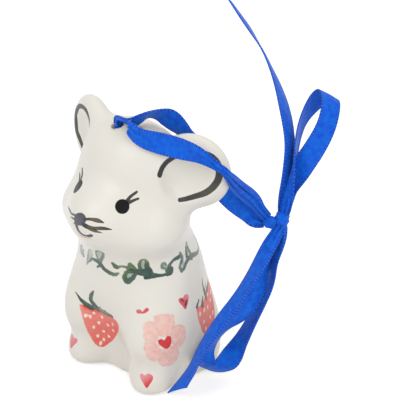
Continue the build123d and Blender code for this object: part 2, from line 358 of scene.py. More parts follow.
class Brushwork:
    """The painted layers over a set of skin points: the nearest mark's distance for each
    layer, the olive share of the stroke that is nearest, and how thinned its paint is"""

    def __init__(self, points, normals):
        self.points, self.normals = points, normals
        self.layers = {}
        self.olive = np.zeros(len(points))
        self.thin = np.zeros(len(points))

    def put(self, layer, which, away, olive, thin):
        """Keeps the smaller distance at the chosen points. Seeds and fine lines leave the
        olive share and the thinness as the paint under them has them."""
        held = self.layers.setdefault(layer, np.full(len(self.points), 9.0))
        nearer = away < held[which]
        held[which] = np.where(nearer, away, held[which])
        marked = nearer & (away < 0.6) & (layer not in ("seed", "dark", "thread"))
        self.olive[which] = np.where(marked, olive, self.olive[which])
        self.thin[which] = np.where(marked, thin, self.thin[which])

    def stroke(self, layer, places, widths, olive=0.0, thin=0.0):
        """A brush stroke through places on the skin, of the half widths given"""
        places = np.asarray(places, float)
        kinds = [np.broadcast_to(np.asarray(kind, float), len(places)) for kind in (widths, olive, thin)]
        rows = flowing(np.column_stack([places] + kinds), 5)
        rows[:, :3] = settle(plain_field, rows[:, :3], 4)
        rows[:, 3] = np.maximum(rows[:, 3], 0.08)
        low, high = rows[:, :3].min(axis=0) - 2.5, rows[:, :3].max(axis=0) + 2.5
        which = np.flatnonzero(((self.points > low) & (self.points < high)).all(axis=1))
        away, along = string_of(self.points[which], rows[:, :3], rows[:, 3])
        steps = np.arange(len(rows))
        self.put(layer, which, away, np.interp(along, steps, rows[:, 4]),
            np.interp(along, steps, rows[:, 5]))

    def blot(self, layer, spot, outline, thin=(0, 0, 0)):
        """A filled shape: the distance, in the plane of a spot, to a closed outline. The paint's
        thinness is given at the spot, with its change per millimetre across and up."""
        reach = np.abs(outline).max() + 3.0
        apart = self.points - spot.centre
        facing = self.normals @ spot.normal > 0.1
        which = np.flatnonzero((np.linalg.norm(apart, axis=1) < reach * 1.5) & facing)
        flat = np.stack([apart[which] @ spot.across, apart[which] @ spot.up], axis=1)
        ends = np.roll(outline, -1, axis=0)
        best = np.full(len(which), 1e3)
        inside = np.zeros(len(which), bool)
        for start, end in zip(outline, ends):
            way = end - start
            part = np.clip((flat - start) @ way / max(way @ way, 1e-9), 0, 1)
            best = np.minimum(best, np.linalg.norm(flat - start - part[:, None] * way, axis=1))
            crosses = (start[1] > flat[:, 1]) != (end[1] > flat[:, 1])
            level = start[0] + (flat[:, 1] - start[1]) * way[0] / (way[1] or 1e-9)
            inside ^= crosses & (flat[:, 0] < level)
        thinness = np.clip(thin[0] + flat @ np.array(thin[1:], float), 0, 1)
        self.put(layer, which, np.where(inside, -best, best), 0.0, thinness)


class Spot:
    """A place on the skin with the outward way, the way up along the skin and the way across"""

    def __init__(self, place):
        self.centre = settle(plain_field, np.array([place], float), 8)[0]
        normal = slope(plain_field, self.centre[None])[0]
        self.normal = normal / np.linalg.norm(normal)
        up = np.array([0, 0, 1.0]) - self.normal[2] * self.normal
        self.up = up / np.linalg.norm(up)
        self.across = np.cross(self.up, self.normal)

    def lay(self, pairs):
        """Pairs across and up, in millimetres, dropped onto the skin along the spot's normal"""
        pairs = np.asarray(pairs, float)
        high = self.centre + pairs[:, :1] * self.across + pairs[:, 1:2] * self.up
        return drop(plain_field, high + 3 * self.normal, -self.normal)


def round_the_body(pairs):
    """Places on the trunk at an angle from the front, in degrees, and a height"""
    pairs = np.asarray(pairs, float)
    angle = np.radians(pairs[:, 0])
    outward = np.column_stack([np.sin(angle), -np.cos(angle), 0 * angle])
    start = np.column_stack([0 * angle, 0 * angle - 1, pairs[:, 1]]) + 30 * outward
    for _ in range(40):
        start = start - plain_field(start)[:, None] * outward
    return start


def turned(outline, degrees, middle=(0, 0)):
    """An outline turned anticlockwise and moved"""
    a = np.radians(degrees)
    spin = np.array([[np.cos(a), np.sin(a)], [-np.sin(a), np.cos(a)]])
    return outline @ spin + np.asarray(middle, float)


def closed(pairs):
    """A smooth closed outline through pairs across and up"""
    pairs = np.asarray(pairs, float)
    return flowing(np.vstack([pairs[-2:], pairs, pairs[:2]]), 4)[8:-8]


def flipped(pairs, side):
    """The pairs as they are, or as a mirror shows them where the side is -1"""
    return np.asarray(pairs, float) * (side, 1)


BERRY = [(-5.8, 7.6), (-5.3, 4.4), (-4.6, -1.9), (-3.5, -5.4), (-2.2, -7), (-0.7, -7.5), (0.7, -6.2)]
BERRY += [(2.9, -3.6), (5.8, 1.7), (7.4, 6.0), (6.6, 7.7), (3.9, 7.9), (0.7, 7.8), (-2.4, 7.6)]
BERRY_SEEDS = [(-4.3, 4.2), (-2.9, 4.1), (-2.5, 0.1), (-0.6, 2.3), (0.3, -1.0), (2.4, 2.7), (-2.0, -3.6)]
BERRY_SEEDS += [(-0.3, -4.8), (1.7, -2.7), (-1.4, -6.2), (4.0, 1.2), (4.6, 4.6), (-1.6, 5.6), (1.0, 5.2)]
BERRY_LEAVES = [
    ([(-2.2, 7.6), (-4.0, 8.1), (-5.8, 9.2), (-7.4, 10.3)], (1.0, 0.85, 0.5, 0.08), (0, 0.1, 0, 0)),
    ([(0.2, 8.2), (-0.9, 9.0), (-2.0, 10.6), (-1.3, 12.7), (0.0, 15.0)], (1.0, 1.0, 0.75, 0.6, 0.1),
        (0, 0, 0.3, 0.2, 0)),
    ([(-1.0, 8.1), (1.0, 8.2), (3.0, 8.1), (5.2, 8.4)], (0.8, 1.0, 1.0, 0.45), (0.2, 0.7, 0.6, 0.1),
        (0.1, 0.35, 0.3, 0)),
    ([(0.6, 8.3), (1.3, 9.6)], (0.6, 0.12), 0.2),
    ([(2.4, 8.4), (3.2, 9.5)], (0.5, 0.12), 0.4),
]
SIDE_BERRY = [(-5.5, 4.3), (-5.2, 1.0), (-4.0, -2.3), (-2.4, -5.4), (0, -7.6), (2.6, -7.0), (5.4, -4.0)]
SIDE_BERRY += [(7.4, 0.6), (7.6, 5.2), (5.6, 6.4), (2.4, 6.4), (-0.6, 4.6), (-3.4, 4.0)]
SIDE_SEEDS = [(-4.0, 1.6), (-1.9, -2.0), (2.2, -2.8), (-1.1, -4.7), (4.4, -2.6), (-1.4, 1.4), (1.2, 1.0)]
SIDE_SEEDS += [(4.2, 1.6), (1.0, -5.6), (6.0, 3.0), (2.6, 4.2)]
SIDE_LEAVES = [
    ([(0.8, 5.4), (-0.4, 8.6), (-0.3, 11.0)], (0.45, 0.4, 0.1), 0.1),
    ([(2.3, 5.2), (1.8, 8.2)], (0.5, 0.12), 0.1),
    ([(3.0, 5.2), (4.6, 6.6), (6.4, 7.4)], (0.5, 0.45, 0.12), 0.2),
    ([(1.0, 3.4), (0.5, 5.0), (-0.5, 7.4)], (0.4, 0.6, 0.2), 0.1),
    ([(-2.2, 2.9), (-2.3, 4.2), (-1.5, 5.8)], (0.45, 0.6, 0.25), 0.1),
    ([(-5.3, 4.6), (-4.1, 6.0)], (0.55, 0.35), 0.2),
]
PETALS = [
    [(-2.1, 7.5), (-0.6, 8.0), (1.5, 7.5), (3.1, 6.6), (2.7, 4.2), (2.0, 2.6), (0.4, 2.0), (-1.3, 2.7),
        (-2.1, 4.6)],
    [(-5.4, 4.8), (-4.4, 6.3), (-3.1, 6.3), (-2.4, 4.7), (-2.3, 2.4), (-2.8, 0.7), (-4.3, 0.6),
        (-5.7, 2.2)],
    [(-5.6, -1.2), (-5.0, 0.0), (-3.2, -0.4), (-1.6, -2.6), (-1.4, -5.2), (-2.1, -6.3), (-3.7, -5.8),
        (-5.1, -3.9)],
    [(-0.9, -7.6), (-1.0, -4.4), (-0.2, -3.0), (2.0, -2.9), (4.0, -4.2), (4.8, -6.5), (4.2, -8.7),
        (2.2, -9.2), (0.2, -8.7)],
    [(2.2, -0.6), (2.3, 1.8), (3.2, 3.3), (5.1, 3.2), (6.8, 1.5), (6.9, -0.9), (6.1, -3.2), (4.4, -3.3)],
]
BLOSSOM_HEART = [(-2.1, 0.3), (-1.5, 1.0), (-0.7, 0.8), (-0.1, 0.3), (0.4, 1.1), (1.1, 1.4), (1.9, 0.7)]
BLOSSOM_HEART += [(2.1, -0.6), (1.8, -1.9), (0.8, -2.8), (-0.4, -2.0), (-1.5, -0.9)]
FLAT_HEART = [(-1.8, -0.2), (-1.2, 0.3), (-0.4, 0.1), (0.0, -0.2), (0.6, 0.6), (1.3, 1.0), (1.7, 0.5)]
FLAT_HEART += [(1.3, -0.2), (0.4, -0.7), (-0.8, -0.9), (-1.6, -0.8)]
LONG_HEART = [(-1.9, 1.1), (-1.2, 1.5), (-0.3, 1.1), (0.2, 1.7), (1.0, 1.7), (1.8, 1.0), (1.7, -0.2)]
LONG_HEART += [(1.0, -1.4), (0.2, -2.6), (-0.8, -1.2), (-1.7, 0.2)]


def paint_berry(work, place, shape, seeds, leaves, side=1):
    """A strawberry: a rounded wedge, paler at the upper left, with seeds left white and a few
    quick leaves at its top"""
    spot = Spot(place)
    work.blot("berry", spot, closed(flipped(shape, side)), (0.3, -0.05 * side, 0.03))
    for middle in flipped(seeds, side):
        tips = np.array([(-0.05 * side, -0.32), (0.05 * side, 0.32)]) + middle
        work.stroke("seed", spot.lay(tips), 0.42)
    for way, *kinds in leaves:
        work.stroke("leaf", spot.lay(flipped(way, side)), *kinds)


def paint_blossom(work, place, side=1, scale=1.0):
    """Five pale petals round a small red heart"""
    spot = Spot(place)
    for petal in PETALS:
        grown = closed(flipped(petal, side) * scale)
        middle = grown.mean(axis=0)
        work.blot("petal", spot, middle + (grown - middle) * 1.11 - middle * 0.06)
    work.blot("heart", spot, closed(flipped(BLOSSOM_HEART, side) * scale))


def paint_heart(work, place, shape, thin, side=1):
    """One heart that is painted on its own"""
    work.blot("heart", Spot(place), closed(flipped(shape, side)), thin)


# The garland: rows of an angle from the front and a height, half widths, olive shares and how
# thinned the paint is. Lobes are washes with a darker line round them.
GARLAND_WASHES = [
    ([(2, 40.2), (5.4, 42.4), (8.6, 42.6)], (0.9, 1.15, 0.8), 0.85, 0.35),
    ([(-16, 37.2), (-10, 39.6), (-5.5, 42)], (0.8, 0.7, 0.3), 0.1, 0.85),
    ([(33, 38.4), (34.6, 39.6), (37.6, 39.2)], (0.7, 0.8, 0.7), 0.8, 0.2),
    ([(46.6, 39.4), (46.8, 40.8), (48.6, 40.4)], (0.9, 1.0, 0.8), 0.7, 0.45),
    ([(31, 35.8), (33, 36.9)], (0.9, 0.8), 0.7, 0.3),
    ([(64.8, 39.2), (66.2, 39)], (0.9, 0.75), 0.4, 0.6),
    ([(92.4, 39.6), (92.6, 42)], (0.8, 0.5), 0.3, 0.6),
    ([(84.4, 38.4), (86, 37.8)], (0.7, 0.5), 0.1, 0.8),
]
GARLAND_STROKES = [
    ([(-25, 40.6), (-33, 38.6), (-36.5, 37), (-32, 36.8), (-26, 38.8)], (0.3, 0.5, 0.6, 0.5, 0.3), 0, 0.7),
    ([(-20.5, 35.1), (-18.5, 37.6), (-13, 40.4), (-6, 42)], (0.3, 0.4, 0.3, 0.2), 0.1, 0.7),
    ([(-19, 35.8), (-14.5, 37), (-9, 38.4)], (0.25, 0.35, 0.4), 0.1, 0.5),
    ([(-10.6, 38.1), (-4, 38.3), (1.4, 37.8), (6, 36.6), (12, 36.1), (18, 35.9), (22.4, 36.5)],
        (0.45, 0.7, 0.85, 0.65, 0.6, 0.55, 0.35), (0, 0, 0, 0, 0.2, 0.3, 0.5), (0.3, 0.15, 0.1, 0.1, 0.1,
            0.15, 0.3)),
    ([(1, 38.6), (-1.6, 40.1), (2.2, 42.5), (7.8, 43.4), (10.6, 42.8), (7, 40.8), (1.6, 38.6)],
        (0.5, 0.35, 0.3, 0.25, 0.35, 0.45, 0.6), 0.4, 0.35),
    ([(1, 37.4), (-3.4, 36.2)], (0.5, 0.3), 0, 0.2),
    ([(17.4, 39.3), (19.4, 38.7), (21.4, 38.4)], (0.6, 0.85, 0.6), 0.35, 0.05),
    ([(21.4, 38.6), (26.5, 39.1), (31.4, 39.0), (35.6, 39.2)], (0.45, 0.4, 0.5, 0.6), 0.8, 0.15),
    ([(36.8, 37.9), (32.2, 37.7), (29.2, 36.6), (29.2, 35.2), (32.2, 34.8), (35.5, 35.5), (38.8, 36.9)],
        (0.6, 0.6, 0.6, 0.8, 0.9, 0.7, 0.6), (0.2, 0.5, 0.5, 0.2, 0.1, 0.1, 0), 0.05),
    ([(32.6, 38.8), (34.4, 40.4), (37, 39.9), (39, 38.8)], (0.35, 0.4, 0.4, 0.5), 0.7, 0.1),
    ([(35, 38.2), (38.7, 38.0), (44.6, 37.8), (50.4, 37.6), (55, 37.0), (60.6, 36.6), (66, 36.6)],
        (0.6, 0.85, 1.05, 1.15, 0.75, 0.5, 0.45), 0, 0),
    ([(44, 38.5), (43.2, 40.2), (44.4, 41.8), (47.4, 42.3), (49.8, 41.2), (50.2, 39.4), (52.4, 37.9)],
        (0.6, 0.5, 0.4, 0.4, 0.55, 0.75, 0.95), (0.3, 0.5, 0.7, 0.8, 0.5, 0.1, 0), (0, 0.1, 0.2, 0.2,
            0.1, 0, 0)),
    ([(49, 37.4), (48.6, 36.1), (53.5, 36.3), (59.4, 36.5)], (0.9, 0.45, 0.5, 0.4), 0, 0),
    ([(65.6, 36.6), (69.3, 36.5), (72, 36.9), (72.4, 37.8), (70.6, 38.3), (68.4, 37.8), (69.4, 37.0)],
        (0.4, 0.55, 0.6, 0.6, 0.5, 0.6, 0.6), (0, 0, 0, 0, 0, 0.2, 0), 0.05),
    ([(67.6, 38.2), (64.2, 38.7), (63, 39.8), (65.4, 40.3), (67.7, 39.4)], (0.35, 0.4, 0.35, 0.3, 0.3),
        0.3, 0.5),
    ([(69.9, 38.4), (71.7, 39.5), (75.7, 40.4), (80.8, 40.5)], (0.5, 0.5, 0.55, 0.75), 0, 0.15),
    ([(82.3, 41.8), (85.2, 39.8), (82.8, 38.6), (81.6, 37.4), (83.2, 36.4), (87.2, 37.2), (91.8, 38.4),
        (98.7, 38.6), (107.4, 38.0), (116, 37.7), (121.5, 38.8), (121, 41.4)],
            (0.4, 0.5, 0.45, 0.5, 0.6, 0.5, 0.6, 0.75, 0.6, 0.5, 0.45, 0.3), 0, (0.5, 0.4, 0.4, 0.35, 0.3, 0.3, 0.3, 0.35, 0.4, 0.45, 0.5, 0.7)),
    ([(92, 38.8), (91.4, 41.4), (92.2, 43.7), (95, 41.6), (98.2, 39.2)], (0.5, 0.35, 0.25, 0.4, 0.5),
        0.25, 0.35),
    ([(95.6, 38.8), (98.2, 37.6)], (0.5, 0.25), 0, 0.35),
]


def paint_garland(work):
    """The waving stem round the chest, its right side again further round, where the photograph
    doesn't show it"""
    for layer, marks in (("wash", GARLAND_WASHES), ("leaf", GARLAND_STROKES)):
        for pairs, widths, olive, thin in marks:
            work.stroke(layer, round_the_body(pairs), widths, olive, thin)
            far = np.array(pairs, float) * (-1, 1) - (64, 0)
            if far[:, 0].min() > -196:
                work.stroke(layer, round_the_body(far), widths, olive, thin)


def paint_face(work):
    """Eyes with two lashes each, nose, three whiskers a side, mouth, and an arc in each ear"""
    near_eye, far_eye = Spot((8.4, -15.9, 57.7)), Spot((-8.0, -16.0, 58.0))
    t = np.linspace(0, 2 * np.pi, 32, endpoint=False)
    disc = np.column_stack([np.cos(t), np.sin(t)])
    work.blot("eye", near_eye, disc * (1.9, 1.98) - (0.1, 0))
    work.blot("eye", far_eye, disc * (2.0, 2.05))
    for spot, side in ((near_eye, 1), (far_eye, -1)):
        work.stroke("ink", spot.lay(flipped([(0.9, 1.3), (2.1, 2.6), (3.7, 3.7)], side)),
            (0.45, 0.42, 0.32), 0.15)
        work.stroke("ink", spot.lay(flipped([(1.4, 0.8), (2.7, 1.5), (4.1, 2.0)], side)),
            (0.45, 0.4, 0.3), 0.15)
    nose = Spot((-0.3, -23, 53.6))
    work.blot("nose", nose, turned(disc * (2.3, 1.72), 20, (-0.3, 0.0)))
    work.stroke("ink", nose.lay([(1.3, 0.5), (3.0, 1.1), (5.0, 1.3), (6.5, 1.1)]),
        (0.34, 0.4, 0.55, 0.1), (0, 0.6, 0.8, 0.2))
    work.stroke("ink", nose.lay([(2.2, -1.0), (4.4, -0.9), (6.5, -0.4), (8.4, -0.2)]),
        (0.42, 0.38, 0.5, 0.1), (0.4, 0.9, 0.3, 0))
    work.stroke("ink", nose.lay([(2.6, -1.5), (4.4, -1.7), (6.6, -1.7)]), (0.34, 0.42, 0.1),
        (0.4, 1.0, 0.6), (0, 0, 0.3))
    work.stroke("ink", nose.lay([(1.2, -1.0), (2.2, -1.1)]), (0.6, 0.7), 0)
    work.stroke("nose", nose.lay([(-2.6, 0.4), (-4.3, 0.1), (-6.1, 0.4), (-8.7, 0.5)]),
        (0.3, 0.26, 0.34, 0.12))
    work.stroke("nose", nose.lay([(-2.2, -0.7), (-3.4, -0.8), (-4.8, -0.9)]), (0.3, 0.24, 0.12))
    work.stroke("nose", nose.lay([(-2.0, -1.6), (-2.8, -2.3)]), (0.28, 0.14))
    mouth = [(-1.4, -1.1), (-1.3, -2.2), (-0.8, -3.4), (0.5, -4.1), (2.0, -4.0)]
    work.stroke("nose", nose.lay(mouth), (0.75, 0.7, 0.58, 0.42, 0.28))
    work.stroke("nose", nose.lay([(2.4, -3.9), (3.6, -3.3)]), (0.42, 0.44))
    work.stroke("thread", nose.lay([(-1.8, -4.2), (-0.8, -4.8), (1.1, -4.8), (3.2, -4.2)]),
        (0.1, 0.2, 0.2, 0.1))
    near_arc = [(14.2, -7.3, 65.6), (16.2, -4.8, 68.9), (20.4, -1.6, 71.9), (24.7, 0.6, 71.3)]
    near_arc += [(26.4, 1.6, 68.3), (26.2, 1.2, 64.5), (23.2, -0.4, 60.6), (18.6, -4.5, 59)]
    far_arc = [(-15.4, -5.5, 69.5), (-17.9, -2.2, 72.4), (-22.4, -0.2, 71.8), (-25.0, 0.9, 68.8)]
    far_arc += [(-25.5, 1.1, 66.8), (-25.3, 1.0, 64.1), (-24.5, 0.6, 62.5), (-20.6, -2.2, 59.7)]
    widths = (0.85, 0.7, 0.7, 0.8, 0.95, 0.98, 0.85, 0.6)
    olive = (0, 0, 0, 0, 0, 0, 0.1, 0)
    for arc in (near_arc, far_arc):
        work.stroke("ink", arc, widths, olive, (0, 0, 0, 0, 0, 0.05, 0.08, 0))


def paint(points, normals):
    """All marks of the figure"""
    work = Brushwork(points, normals)
    paint_garland(work)
    paint_blossom(work, (18.4, -11.1, 18.1))
    paint_blossom(work, (-18.0, -7.5, 19.5), -1, 0.95)
    paint_blossom(work, (3.0, 22.0, 26.0))
    paint_berry(work, (-3.4, -13.4, 13.8), BERRY, BERRY_SEEDS, BERRY_LEAVES)
    paint_berry(work, (18.6, 6.4, 19.3), SIDE_BERRY, SIDE_SEEDS, SIDE_LEAVES)
    paint_berry(work, (-18.2, 9.4, 20.0), SIDE_BERRY, SIDE_SEEDS, SIDE_LEAVES, -1)
    paint_heart(work, (13.4, -14.4, 27.2), FLAT_HEART, (0.35, -0.1, 0))
    paint_heart(work, (19.1, -3.9, 27.7), LONG_HEART, (0.5, 0.2, 0.1))
    paint_heart(work, (-17.4, 13.4, 31.0), LONG_HEART, (0.25, -0.2, 0.1), -1)
    paint_heart(work, (14.7, -14.8, 6.0), LONG_HEART, (0.6, -0.25, 0.3))
    paint_heart(work, (-13.2, -15.2, 7.0), LONG_HEART, (0.8, -0.1, 0.15), -1)
    strokes = [(-1.1, 0.9), (-0.1, 0.0), (0.3, -1.4)], [(1.0, 0.2), (0.5, -1.0), (0.3, -1.8)]
    for way in strokes:
        work.stroke("dark", Spot((19.1, -3.9, 27.7)).lay(way), (0.2, 0.34, 0.16))
    paint_face(work)
    return work


LAYERS = ("petal", "berry", "seed", "heart", "dark", "wash", "leaf", "thread", "ink", "nose", "eye")


def split_near(corners, faces, wanted, rounds):
    """Faces with a wanted corner are cut in four, and their neighbours to match"""
    mesh = bpy.data.meshes.new("cut")
    mesh.from_pydata(corners.tolist(), [], faces.tolist())
    for _ in range(rounds):
        built = bmesh.new()
        built.from_mesh(mesh)
        flags = wanted(np.array([corner.co for corner in built.verts]))
        edges = [edge for edge in built.edges if flags[edge.verts[0].index] and flags[edge.verts[1].index]]
        bmesh.ops.subdivide_edges(built, edges=edges, cuts=1, use_grid_fill=True)
        built.to_mesh(mesh)
        built.free()
    return mesh


def figure_mesh(spacing):
    """The painted skin: the zero level of the field, cut finer near the marks, settled on the
    exact surface, with the field's slope as normals and each layer's distance as attribute"""
    corners, faces = skinned(spacing)
    corners = settle(figure_field, corners.astype(float), 2)

    def near_marks(places):
        work = paint(places, normalised(slope(plain_field, places)))
        nearest = np.min([work.layers[name] for name in LAYERS], axis=0)
        return np.abs(nearest) < spacing * 1.6

    mesh = split_near(corners, faces, near_marks, 1)
    mesh.name = "mouse_figure_skin"
    places = np.empty(len(mesh.vertices) * 3)
    mesh.vertices.foreach_get("co", places)
    places = settle(figure_field, places.reshape(-1, 3), 2)
    normals = normalised(slope(figure_field, places))
    work = paint(places, normals)
    mesh.vertices.foreach_set("co", (places * MM).ravel())
    for name in LAYERS:
        mesh.attributes.new(name, "FLOAT", "POINT").data.foreach_set("value", work.layers[name])
    mesh.attributes.new("olive", "FLOAT", "POINT").data.foreach_set("value", work.olive)
    mesh.attributes.new("thin", "FLOAT", "POINT").data.foreach_set("value", work.thin)
    mesh.shade_smooth()
    mesh.update()
    mesh.normals_split_custom_set_from_vertices(normals.tolist())
    return mesh


def normalised(vectors):
    """Vectors of length one"""
    return vectors / np.maximum(np.linalg.norm(vectors, axis=-1, keepdims=True), 1e-9)


# Geometry of the ribbon: a pleated cross-section carried along each route


TAIL_CUT = -3.5  # how far one edge of the lower tail's end lies ahead, in millimetres
CUT_REACH = 9.0  # length of ribbon that the cut draws along, in millimetres
CUT_LEAN = 0.1  # share of the cut that moves the whole end


def route_line(name, rows):
    """The points that the open spline of order 3 with these rows as control points gives"""
    curve = bpy.data.curves.new(name, "CURVE")
    curve.dimensions = "3D"
    curve.resolution_u = 14
    spline = curve.splines.new("NURBS")
    spline.points.add(len(rows) - 1)
    spline.points.foreach_set("co", np.column_stack([rows, np.ones(len(rows))]).ravel())
    spline.order_u = 3
    spline.use_endpoint_u = True
    holder = bpy.data.objects.new(name, curve)
    mesh = bpy.data.meshes.new_from_object(holder)
    points = np.empty(len(mesh.vertices) * 3)
    mesh.vertices.foreach_get("co", points)
    bpy.data.objects.remove(holder)
    bpy.data.meshes.remove(mesh)
    return points.reshape(-1, 3)


def carried_faces(points, turns, across):
    """The ribbon's way across at each point of its line: the start's way, kept square to the
    line from point to point, then turned about the line"""
    ahead = normalised(np.gradient(points, axis=0))
    held = np.array(across, float)
    ways = []
    for way in ahead:
        held = held - way * (held @ way)
        held /= np.linalg.norm(held)
        ways.append(held)
    ways = np.array(ways)
    a = np.radians(turns)[:, None]
    ways = ways * np.cos(a) + np.cross(ahead, ways) * np.sin(a)
    return ways, np.cross(ahead, ways)


def ribbon_mesh(name, route, across, width, thickness, seed, cut=0.0):
    """A closed strip. At u across and s along, the middle of the cloth stands off its line by
    half the shown width times u across, and out of its plane by the pleats, a sum of cosines of
    u that grows as the share of full width falls, and by a shallow wave. Both faces lie half
    a thickness off that along the section's normal. Near the end one edge runs ahead of the line and
    the other stays behind it, in proportion to the cut, which makes the end oblique."""
    rows = np.array(route, float)
    points = route_line(name, rows[:, :3] * MM) / MM
    extra = route_line(name, np.column_stack([rows[:, 3], rows[:, 4] / 90, 0 * rows[:, 3]]))
    share, turns = extra[:, 0], extra[:, 1] * 90
    ways, out = carried_faces(points, turns, across)
    along = np.concatenate([[0], np.cumsum(np.linalg.norm(np.diff(points, axis=0), axis=1))])
    u = np.linspace(-1, 1, 25)[None, :]
    gather = np.sqrt(np.clip(1 - share**2, 0, 1))[:, None]
    phase = 0.6 * np.sin(along / 7.0 + seed)[:, None] + seed
    pleats = 0.52 * np.cos(2.6 * np.pi * u + phase) + 0.22 * np.cos(4.7 * np.pi * u - 1.7 * phase)
    wave = 0.16 * np.sin(along / 4.3 + seed * 2)[:, None] * u + 0.22 * (1 / 3 - u**2)
    flat = (width / 2) * share[:, None] * u
    rise = gather**1.6 * pleats + wave * (1 - gather)
    tilt_y = -np.gradient(rise, axis=1)
    tilt_x = np.gradient(flat, axis=1)
    size = np.hypot(tilt_x, tilt_y)
    edge = 1 + 0.35 * np.exp(-(((1 - np.abs(u)) * width / 2) / 0.22) ** 2)
    half = thickness / 2 * edge
    sections = []
    for side in (1, -1):
        x, y = flat + side * half * tilt_y / size, rise + side * half * tilt_x / size
        sections.append((x, y) if side == 1 else (x[:, ::-1], y[:, ::-1]))
    x = np.concatenate([sections[0][0], sections[1][0]], axis=1)
    y = np.concatenate([sections[0][1], sections[1][1]], axis=1)
    corners = points[:, None] + x[..., None] * ways[:, None] + y[..., None] * out[:, None]
    cloth = np.concatenate([u, u[:, ::-1]], axis=1) * (width / 2)
    near_end = np.clip(1 - (along[-1] - along) / CUT_REACH, 0, 1) ** 2
    shift = cut * near_end[:, None] * (cloth / (width / 2) + CUT_LEAN)
    corners = corners + shift[..., None] * np.cross(ways, out)[:, None]
    stations, columns = corners.shape[:2]
    mesh = tube_mesh(name, corners)
    set_values(mesh, "across", np.broadcast_to(cloth, (stations, columns)).ravel())
    set_values(mesh, "along", np.repeat(along, columns))
    return mesh, points * MM, along[-1] * MM


def tube_mesh(name, corners):
    """A closed mesh from rings of corners: faces between rings, and a fan of the first and of
    the last ring, turned outwards"""
    stations, columns = corners.shape[:2]
    index = np.arange(stations * columns).reshape(stations, columns)
    nxt = np.roll(index, -1, axis=1)
    quads = np.stack([index[:-1], nxt[:-1], nxt[1:], index[1:]], axis=-1).reshape(-1, 4)
    half = columns // 2
    first, last = index[0], index[-1]
    caps = []
    for ring, turn in ((first, -1), (last, 1)):
        near, back = ring[:half], ring[::-1][:half]
        cap = np.stack([near[:-1], near[1:], back[1:], back[:-1]], axis=-1)
        caps.append(cap[:, ::turn])
    faces = np.concatenate([quads] + caps)
    mesh = bpy.data.meshes.new(name)
    mesh.from_pydata((corners.reshape(-1, 3) * MM).tolist(), [], faces.tolist())
    mesh.update()
    built = bmesh.new()
    built.from_mesh(mesh)
    bmesh.ops.recalc_face_normals(built, faces=built.faces)
    built.to_mesh(mesh)
    built.free()
    mesh.shade_smooth()
    return mesh


def set_values(mesh, name, values):
    """One number per corner of the mesh, under a name that the materials read"""
    mesh.attributes.new(name, "FLOAT", "POINT").data.foreach_set("value",
        np.ascontiguousarray(values, float))


def basis_of(direction):
    """Three ways at right angles, the last along the direction"""
    along = normalised(np.array(direction, float))
    side = normalised(np.cross(along, (1.0, 0.2, 0.1)))
    return np.array([side, np.cross(along, side), along])


def wound_mesh(name, place, direction, radius, length, folds, bulge, seed):
    """Cloth wound round a line: at angle t and height h the radius is the full one times a
    rounded end, plus soft ridges that run round it and drift with the angle"""
    t = np.linspace(0, 2 * np.pi, 65)[:-1][None, :]
    h = np.linspace(-1, 1, 37)[:, None]
    ends = (1 - np.abs(h) ** 4.0) ** 0.5
    ridges = 0.055 * np.cos(folds * np.pi * h + 1.1 * np.sin(t + seed)) + 0.03 * np.cos(3 * t + seed)
    r = radius * (1 - bulge * h**2) * (0.28 + 0.72 * ends) * (1 + ridges)
    z = length / 2 * h + 0 * t
    local = np.stack([r * np.cos(t), r * np.sin(t), z], axis=-1)
    corners = np.array(place) + local @ basis_of(direction)
    mesh = tube_mesh(name, corners)
    set_values(mesh, "across", (z * 0.8).ravel())
    set_values(mesh, "along", (r * t).ravel())
    return mesh


# Materials


def node(tree, kind, **values):
    """A node with its settings and with its inputs, given as in_ and the socket's number"""
    made = tree.nodes.new(kind)
    for name, value in values.items():
        if name.startswith("in_"):
            made.inputs[int(name[3:])].default_value = value
        else:
            setattr(made, name, value)
    return made


def socket(group, name, way, kind="NodeSocketFloat", value=None):
    """A named input or output of a node group"""
    made = group.interface.new_socket(name=name, in_out=way, socket_type=kind)
    if value is not None:
        made.default_value = value


def formula(tree, operation, *inputs):
    """A Math node's output, its inputs given as sockets or numbers"""
    made = node(tree, "ShaderNodeMath", operation=operation)
    for slot, value in zip(made.inputs, inputs):
        if isinstance(value, (int, float)):
            slot.default_value = value
        else:
            tree.links.new(value, slot)
    return made.outputs[0]


def smooth_step(tree, value, low, high, reverse=False):
    """A number run smoothly from 0 at low to 1 at high, or from 1 to 0"""
    made = node(tree, "ShaderNodeMapRange", interpolation_type="SMOOTHSTEP", in_1=low, in_2=high)
    made.inputs[3].default_value, made.inputs[4].default_value = (1, 0) if reverse else (0, 1)
    tree.links.new(value, made.inputs[0])
    return made.outputs[0]


